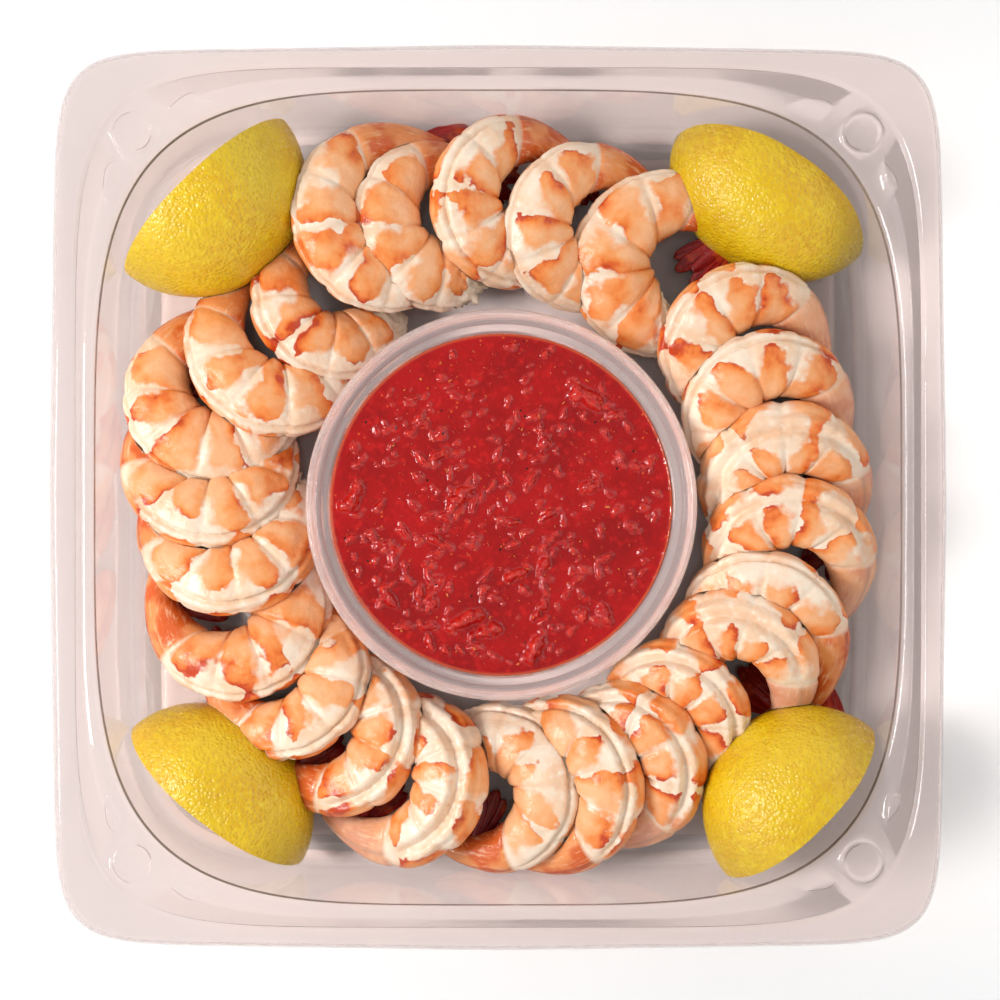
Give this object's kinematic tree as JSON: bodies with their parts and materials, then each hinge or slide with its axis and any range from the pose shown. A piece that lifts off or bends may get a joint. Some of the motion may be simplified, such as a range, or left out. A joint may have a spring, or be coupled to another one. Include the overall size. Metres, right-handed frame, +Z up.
{
  "type": "shrimp ring platter with cocktail sauce",
  "caption": "Square clear tray of cooked, peeled, tail-on shrimp curled in a ring round a cup of cocktail sauce, with a lemon wedge in each corner.",
  "frame": {"origin": "on the tray's resting plane, under the middle of its flange", "axes": "+Z up; X and Y along the tray's sides, with the lemon wedges on the diagonals"},
  "size_m": [0.2762, 0.2788, 0.0488],
  "materials": {
    "clear_tray": "clear, slightly pink thermoformed plastic, glossy",
    "clear_cup": "clear plastic, glossy, with a rolled rim",
    "cocktail_sauce": "wet, glossy deep red sauce with flecks of horseradish, tomato and pepper",
    "lemon_peel": "waxy yellow peel with fine pores",
    "cooked_shrimp": "moist cooked shrimp, white back and orange bands, dark red tail fan"
  },
  "bodies": {
    "root": {"tray": "clear_tray", "sauce_cup": "clear_cup", "sauce": "cocktail_sauce", "lemon_wedge_1": "lemon_peel", "lemon_wedge_2": "lemon_peel", "lemon_wedge_3": "lemon_peel", "lemon_wedge_4": "lemon_peel", "shrimp_01": "cooked_shrimp", "shrimp_02": "cooked_shrimp", "shrimp_03": "cooked_shrimp", "shrimp_04": "cooked_shrimp", "shrimp_05": "cooked_shrimp", "shrimp_06": "cooked_shrimp", "shrimp_07": "cooked_shrimp", "shrimp_08": "cooked_shrimp", "shrimp_09": "cooked_shrimp", "shrimp_10": "cooked_shrimp", "shrimp_11": "cooked_shrimp", "shrimp_12": "cooked_shrimp", "shrimp_13": "cooked_shrimp", "shrimp_14": "cooked_shrimp", "shrimp_15": "cooked_shrimp", "shrimp_16": "cooked_shrimp", "shrimp_17": "cooked_shrimp", "shrimp_18": "cooked_shrimp", "shrimp_19": "cooked_shrimp", "shrimp_20": "cooked_shrimp", "shrimp_21": "cooked_shrimp", "shrimp_22": "cooked_shrimp", "shrimp_23": "cooked_shrimp", "shrimp_24": "cooked_shrimp"}
  },
  "joints": []
}
